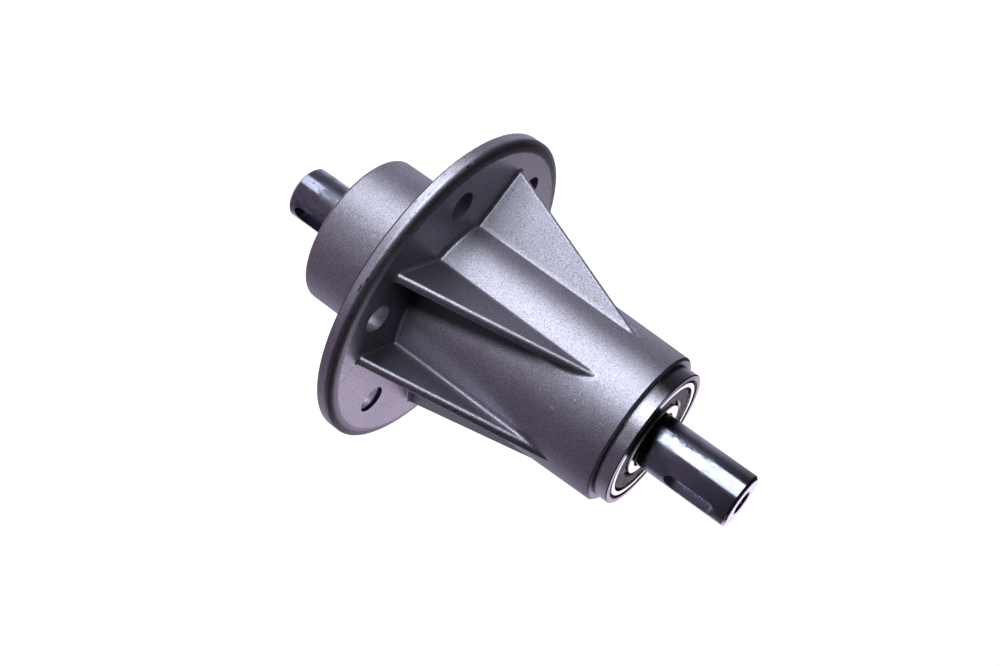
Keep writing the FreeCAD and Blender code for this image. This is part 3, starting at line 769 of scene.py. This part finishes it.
@dataclass(frozen=True)
class ShieldSteel:
    """Pressed sheet shields: greasy satin webs with a bright inner lip and a dirty rim."""

    dark: Colour = (0.03, 0.028, 0.03)
    light: Colour = (0.40, 0.38, 0.40)
    edge_tint: Colour = (0.30, 0.30, 0.30)
    lip_tone: Colour = (0.80, 0.80, 0.82)
    lip: float = 0.01552
    rim: float = 0.02045
    web_rough: tuple[float, float] = (0.22, 0.38)
    pitch: float = 0.0003

    def material(self) -> bpy.types.Material:
        """Wire the shields: blotched web, bright lip and grime where the rim sits in its seat."""
        steel = Recipe(Slot.SHIELD.value)
        steel.feed(steel.shader.inputs["Specular Tint"], self.edge_tint)
        blotch = steel.noise(1100, 4.0, rough=0.6)
        colour = steel.tint(steel.rise(blotch, 0.35, 0.65), self.dark, self.light)
        colour = steel.tint(steel.rise(steel.radius, self.lip, self.lip - 0.0001), colour, self.lip_tone)
        colour = steel.tint(steel.rise(steel.radius, self.rim, self.rim + 0.0001), colour, GRIME_AND_SHADE)
        steel.bump(steel.turning(self.pitch), 0.000006, 0.3)
        return steel.paint(colour, steel.between(blotch, *self.web_rough))


@dataclass(frozen=True)
class PlainSteel:
    """Unseen sleeve and cage steel with faint lathe or press lines."""

    slot: Slot
    dark: Colour
    light: Colour
    smooth: float
    rough: float
    pitch: float

    def material(self) -> bpy.types.Material:
        """Wire the steel: cloudy tone, faint hoops and a little oil in the roughness."""
        steel = Recipe(self.slot.value)
        cloud = steel.noise(260, 3.0)
        streak = steel.noise(1.0, 2.0, steel.around(6.0, 6000.0))
        colour = steel.tint(streak, self.dark, self.light)
        steel.bump(steel.turning(self.pitch), 0.000006, 0.3)
        return steel.paint(colour, steel.between(cloud, self.smooth, self.rough))


@dataclass(frozen=True)
class BallSteel:
    """Polished balls under a thin film of grease."""

    clean: Colour = (0.74, 0.74, 0.76)
    greased: Colour = (0.55, 0.50, 0.42)
    film_rough: tuple[float, float] = (0.07, 0.3)

    def material(self) -> bpy.types.Material:
        """Wire the balls: patches of grease on polished steel."""
        ball = Recipe(Slot.BALL.value)
        darker_patch = ball.rise(ball.noise(420, 3.0), 0.48, 0.66)
        colour = ball.tint(darker_patch, self.clean, self.greased)
        ball.bump(darker_patch, 0.00002, 0.3)
        return ball.paint(colour, ball.between(darker_patch, *self.film_rough))


def mesh_piece(
    name: str, points: np.ndarray, faces: np.ndarray, material: bpy.types.Material
) -> bpy.types.Object:
    """Put points and four-cornered faces into a smooth mesh object at the origin.

    Args:
        name: Name of the piece.
        points: Places, one row each.
        faces: Corner numbers, four to a row.
        material: Its finish.

    Returns:
        The object, linked to the scene.
    """
    mesh = bpy.data.meshes.new(name)
    mesh.from_pydata(points.reshape(-1, 3).tolist(), [], faces.reshape(-1, 4).tolist())
    mesh.materials.append(material)
    mesh.polygons.foreach_set("use_smooth", np.ones(len(mesh.polygons), dtype=bool))
    mesh.update()
    piece = bpy.data.objects.new(name, mesh)
    bpy.context.scene.collection.objects.link(piece)
    return piece


def grid_faces(rows: int, columns: int, round_columns: bool) -> np.ndarray:
    """Corner numbers of a grid of points, row after row.

    Args:
        rows: Points along the first parameter.
        columns: Points along the second parameter.
        round_columns: True where the last column joins the first.

    Returns:
        An array of four corners a face.
    """
    across = columns if round_columns else columns - 1
    row, column = np.meshgrid(np.arange(rows - 1), np.arange(across), indexing="ij")
    after = (column + 1) % columns
    here, there = row * columns, (row + 1) * columns
    corners = (here + column, here + after, there + after, there + column)
    return np.stack(corners, axis=-1).reshape(-1, 4)


@dataclass
class TappedThread:
    """The ridge of the thread inside one of the shaft's end holes."""

    name: str
    mouth: float
    inwards: float
    wall: float = 0.00430
    crest: float = 0.00396
    pitch: float = 0.0015
    turns: float = 12.0
    steps_per_turn: int = 48
    root_half: float = 0.0006
    crest_half: float = 0.0001
    start_depth: float = 0.0009
    fade_turns: float = 0.35
    least_fade: float = 0.02

    def build(self, material: bpy.types.Material) -> bpy.types.Object:
        """Sweep the ridge's section along a helix.

        With u the turn in radians and four section corners (radius, offset along the axis), a point is
        (r cos u, r sin u, mouth + inwards * (start + pitch u / 2 pi + offset)). Near both ends the crest
        sinks into the wall over a part of a turn, so the ridge closes.

        Args:
            material: The shaft's finish.

        Returns:
            The ridge's object.
        """
        turn = np.linspace(0.0, 2 * math.pi * self.turns, int(self.turns * self.steps_per_turn) + 1)
        from_end = np.minimum(turn, turn[-1] - turn) / (2 * math.pi * self.fade_turns)
        fade = np.clip(from_end, self.least_fade, 1.0)
        crest = self.wall - (self.wall - self.crest) * fade
        wall = np.full_like(turn, self.wall)
        radius = np.stack([wall, crest, crest, wall], axis=1)
        offset = np.array([-self.root_half, -self.crest_half, self.crest_half, self.root_half])
        depth = self.start_depth + self.pitch * turn[:, None] / (2 * math.pi) + offset[None, :]
        x, y = radius * np.cos(turn)[:, None], radius * np.sin(turn)[:, None]
        points = np.stack([x, y, self.mouth + self.inwards * depth], axis=-1)
        faces = grid_faces(len(turn), 4, True)
        last = (len(turn) - 1) * 4
        caps = np.array([[3, 2, 1, 0], [last, last + 1, last + 2, last + 3]])
        faces = np.concatenate([faces, caps])
        if self.inwards < 0:
            faces = faces[:, ::-1]
        ridge = mesh_piece(self.name, points, faces, material)
        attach(ridge, "shaft")
        LOG.info("%s: %d faces", self.name, len(faces))
        return ridge


class Spindle:
    """The spindle's solids and the finish of each."""

    def __init__(self) -> None:
        """Wire every finish once."""
        self.finishes: dict[str, bpy.types.Material] = {
            Slot.CAST.value: CastAluminium().material(),
            Slot.SHAFT.value: GroundShaft().material(),
            Slot.BALL.value: BallSteel().material(),
            Slot.RING.value: RingSteel().material(),
            Slot.SHIELD.value: ShieldSteel().material(),
        }
        sleeve = PlainSteel(
            Slot.SLEEVE, (0.40, 0.40, 0.42), (0.55, 0.55, 0.58), smooth=0.25, rough=0.38, pitch=0.0004
        )
        cage = PlainSteel(
            Slot.CAGE, (0.46, 0.44, 0.40), (0.58, 0.56, 0.52), smooth=0.22, rough=0.36, pitch=0.0003
        )
        for steel in (sleeve, cage):
            self.finishes[steel.slot.value] = steel.material()

    def dress(self) -> None:
        """Give every solid its finish by the slot that the record names for it."""
        for row in frame["record"]["subparts"]:
            solid = frame["nodes"][row["node"]]
            for place in solid.material_slots:
                place.material = self.finishes[row["material_slot"]]
            LOG.info("%s: %s", row["node"], row["material_slot"])

    def cut_threads(self) -> None:
        """Add the thread ridges in both end holes of the shaft."""
        low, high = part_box("shaft")
        steel = self.finishes[Slot.SHAFT.value]
        TappedThread("pulley_end_thread", high.z, -1.0).build(steel)
        TappedThread("blade_end_thread", low.z, 1.0).build(steel)


@dataclass(frozen=True)
class Camera:
    """The camera at the photo's angle, with its own right, up and forward directions."""

    lens: float = 55.4334
    sensor: float = 36.0
    place: Place = (0.0335765, -0.5040636, 0.1975362)
    right: Place = (-0.59831481, 0.21802412, 0.77102845)
    up: Place = (-0.79891739, -0.23587225, -0.55325879)
    forward: Place = (-0.06124045, 0.94701096, -0.31530912)

    def set_up(self) -> None:
        """Make the camera and hand it to the scene."""
        data = bpy.data.cameras.new("photo_camera")
        data.lens = self.lens
        data.sensor_fit = "HORIZONTAL"
        data.sensor_width = self.sensor
        camera = bpy.data.objects.new("photo_camera", data)
        turned = Matrix((self.right, self.up, -Vector(self.forward))).transposed().to_4x4()
        camera.matrix_world = Matrix.Translation(self.place) @ turned
        bpy.context.scene.collection.objects.link(camera)
        bpy.context.scene.camera = camera


@dataclass(frozen=True)
class SoftBox:
    """One flat lamp that faces the shaft's axis: edges as turns in degrees, heights and strength."""

    name: str
    left: float
    right: float
    low: float
    high: float
    radiance: float


@dataclass(frozen=True)
class Studio:
    """White ground, soft boxes on one side and dark curtains that the metal mirrors."""

    floor_height: float = -0.30
    floor_half: float = 6.0
    floor_tone: Colour = (0.85, 0.85, 0.85)
    floor_glow: float = 0.75
    floor_rough: float = 0.9
    floor_points: int = 9
    curtain_low: Colour = (0.210, 0.162, 0.225)
    curtain_high: Colour = (0.020, 0.018, 0.022)
    curtain_radius: float = 0.46
    curtain_top: float = 0.30
    curtain_crown: float = 0.62
    curtain_fade: Step = (0.0, 0.10)
    curtain_steps: int = 72
    skirt_rows: int = 6
    wall_rows: int = 13
    dome_rows: int = 13
    skirt_start: float = 0.001
    skirt_lift: float = 0.002
    window_foot: float = 0.05
    window_soft: float = 0.05
    window: tuple[float, float, float] = (82.0, 32.0, 15.0)
    window_tone: Colour = (1.32, 1.16, 1.40)
    glow: tuple[float, float, float] = (98.0, 90.0, 30.0)
    glow_tone: Colour = (0.86, 0.84, 1.00)
    key_far: float = 0.40
    key_tone: Colour = (0.84, 0.89, 1.0)
    soft_boxes: tuple[SoftBox, ...] = (
        SoftBox("upper_soft_box", -150.0, -93.0, -0.020, 0.100, 4.1),
        SoftBox("collar_soft_box", -134.0, -81.0, -0.060, -0.020, 2.7),
        SoftBox("middle_soft_box", -153.0, -117.0, -0.140, -0.060, 3.4),
        SoftBox("lower_soft_box", -152.0, -80.0, -0.175, -0.140, 2.6),
        SoftBox("foot_soft_box", -146.0, -103.0, -0.280, -0.175, 2.6),
        SoftBox("upper_side_panel", -80.0, -54.0, -0.085, -0.020, 1.1),
        SoftBox("lower_side_panel", -80.0, -50.0, -0.175, -0.130, 0.6),
    )
    ambient: float = 0.5

    @staticmethod
    def seen(tree: bpy.types.NodeTree) -> bpy.types.NodeSocket:
        """1 for what the camera, a mirror or a glass sees, and 0 for light that falls on things.

        Args:
            tree: The nodes that it is added to.

        Returns:
            The share's socket.
        """
        path = tree.nodes.new("ShaderNodeLightPath")
        either = tree.nodes.new("ShaderNodeMath")
        either.operation = "MAXIMUM"
        tree.links.new(path.outputs["Is Camera Ray"], either.inputs[0])
        tree.links.new(path.outputs["Is Glossy Ray"], either.inputs[1])
        whole = tree.nodes.new("ShaderNodeMath")
        whole.operation = "MAXIMUM"
        tree.links.new(either.outputs[0], whole.inputs[0])
        tree.links.new(path.outputs["Is Transmission Ray"], whole.inputs[1])
        return whole.outputs[0]

    def sky(self) -> None:
        """White where it is seen, and a dimmer even light where it falls on the floor."""
        world = bpy.data.worlds.new("white_ground")
        world.use_nodes = True
        tree = world.node_tree
        light = tree.nodes["Background"]
        light.inputs["Color"].default_value = (1.0, 1.0, 1.0, 1.0)
        light.inputs["Strength"].default_value = self.ambient
        white = tree.nodes.new("ShaderNodeBackground")
        white.inputs["Color"].default_value = (1.0, 1.0, 1.0, 1.0)
        mix = tree.nodes.new("ShaderNodeMixShader")
        tree.links.new(self.seen(tree), mix.inputs[0])
        tree.links.new(light.outputs[0], mix.inputs[1])
        tree.links.new(white.outputs[0], mix.inputs[2])
        tree.links.new(mix.outputs[0], tree.nodes["World Output"].inputs["Surface"])
        bpy.context.scene.world = world

    def floor(self) -> None:
        """A wide pale floor: its colour keeps the shadow, and a glow lifts it to white where it is seen."""
        paint = bpy.data.materials.new("pale_floor")
        paint.use_nodes = True
        tree = paint.node_tree
        shader = tree.nodes["Principled BSDF"]
        shader.inputs["Base Color"].default_value = (*self.floor_tone, 1.0)
        shader.inputs["Roughness"].default_value = self.floor_rough
        shader.inputs["Specular IOR Level"].default_value = 0.0
        shader.inputs["Emission Color"].default_value = (1.0, 1.0, 1.0, 1.0)
        glow = tree.nodes.new("ShaderNodeMath")
        glow.operation = "MULTIPLY"
        glow.inputs[1].default_value = self.floor_glow
        tree.links.new(self.seen(tree), glow.inputs[0])
        tree.links.new(glow.outputs[0], shader.inputs["Emission Strength"])
        side = np.linspace(-self.floor_half, self.floor_half, self.floor_points)
        along, across = np.meshgrid(side, side, indexing="ij")
        points = np.stack([along, across, np.full_like(along, self.floor_height)], axis=-1)
        faces = grid_faces(self.floor_points, self.floor_points, False)[:, ::-1]
        mesh_piece("floor", points, faces, paint)

    def curtain_cloth(self) -> bpy.types.Material:
        """Dark cloth, darker still high up, with a white window at the back and a pale glow under it."""
        cloth = Recipe("curtain")

        def facing(turn: float, outer: float, inner: float) -> bpy.types.NodeSocket:
            """1 near a turn and 0 away from it, all in degrees."""
            off = cloth.maths("SUBTRACT", cloth.turn, math.radians(turn))
            off = cloth.maths("ABSOLUTE", cloth.maths("WRAP", off, math.pi, -math.pi))
            return cloth.rise(off, math.radians(outer), math.radians(inner))

        foot, soft = self.window_foot, self.window_soft
        high = cloth.rise(cloth.height, foot - soft, foot + soft)
        low = cloth.maths("SUBTRACT", 1.0, high)
        tone = cloth.tint(cloth.rise(cloth.height, *self.curtain_fade), self.curtain_low, self.curtain_high)
        tone = cloth.tint(cloth.all_of(facing(*self.glow), low), tone, self.glow_tone)
        tone = cloth.tint(cloth.all_of(facing(*self.window), high), tone, self.window_tone)
        cloth.feed(cloth.shader.inputs["Metallic"], 0.0)
        cloth.feed(cloth.shader.inputs["Specular IOR Level"], 0.0)
        cloth.feed(cloth.shader.inputs["Base Color"], (0.0, 0.0, 0.0))
        cloth.feed(cloth.shader.inputs["Emission Color"], tone)
        cloth.feed(cloth.shader.inputs["Emission Strength"], 1.0)
        return cloth.material

    def curtains(self) -> None:
        """The curtain that the metal mirrors: a round skirt on the floor, a wall and a domed ceiling.

        With a the turn, a profile of radius r and height z goes round as (r cos a, r sin a, z). The profile
        runs out along the floor, up the wall, and then as r = R cos b, z = top + (crown - top) sin b over a
        quarter turn.
        """
        turn = np.linspace(0.0, 2 * math.pi, self.curtain_steps, endpoint=False)
        bend = np.linspace(0.0, math.pi / 2, self.dome_rows)
        skirt = np.linspace(self.skirt_start, self.curtain_radius, self.skirt_rows)[:-1]
        wall = np.linspace(self.floor_height + self.skirt_lift, self.curtain_top, self.wall_rows)[:-1]
        dome = self.curtain_top + (self.curtain_crown - self.curtain_top) * np.sin(bend)
        upright = np.full(len(wall), self.curtain_radius)
        radius = np.concatenate([skirt, upright, self.curtain_radius * np.cos(bend)])
        height = np.concatenate([np.full(len(skirt), wall[0]), wall, dome])
        points = np.stack(
            [
                radius[:, None] * np.cos(turn)[None, :],
                radius[:, None] * np.sin(turn)[None, :],
                np.broadcast_to(height[:, None], (len(height), len(turn))),
            ],
            axis=-1,
        )
        faces = grid_faces(len(height), len(turn), True)[:, ::-1]
        drape = mesh_piece("curtain", points, faces, self.curtain_cloth())
        drape.visible_camera = False
        drape.visible_diffuse = False
        drape.visible_transmission = False
        drape.visible_shadow = False

    def key(self) -> None:
        """The soft boxes, upright, one over the other."""
        for box in self.soft_boxes:
            turn = math.radians((box.left + box.right) / 2)
            width = 2 * self.key_far * math.tan(math.radians(box.right - box.left) / 2)
            tall = box.high - box.low
            data = bpy.data.lights.new(box.name, "AREA")
            data.shape = "RECTANGLE"
            data.size = width
            data.size_y = tall
            data.energy = box.radiance * math.pi * width * tall
            data.color = self.key_tone
            lamp = bpy.data.objects.new(box.name, data)
            outwards = Vector((math.cos(turn), math.sin(turn), 0.0))
            middle = outwards * self.key_far + Vector((0.0, 0.0, (box.low + box.high) / 2))
            turned = outwards.to_track_quat("Z", "Y").to_matrix().to_4x4()
            lamp.matrix_world = Matrix.Translation(middle) @ turned
            lamp.visible_camera = False
            bpy.context.scene.collection.objects.link(lamp)

    def set_up(self) -> None:
        """Build the ground, the curtains and the light."""
        self.sky()
        self.floor()
        self.curtains()
        self.key()


def main() -> None:
    """Dress the spindle, then set up the camera and the studio."""
    logging.basicConfig(level=logging.INFO, format="%(name)s: %(message)s")
    spindle = Spindle()
    spindle.dress()
    spindle.cut_threads()
    Camera().set_up()
    Studio().set_up()
    bpy.context.scene.view_settings.view_transform = "Standard"


if __name__ == "__main__":
    main()
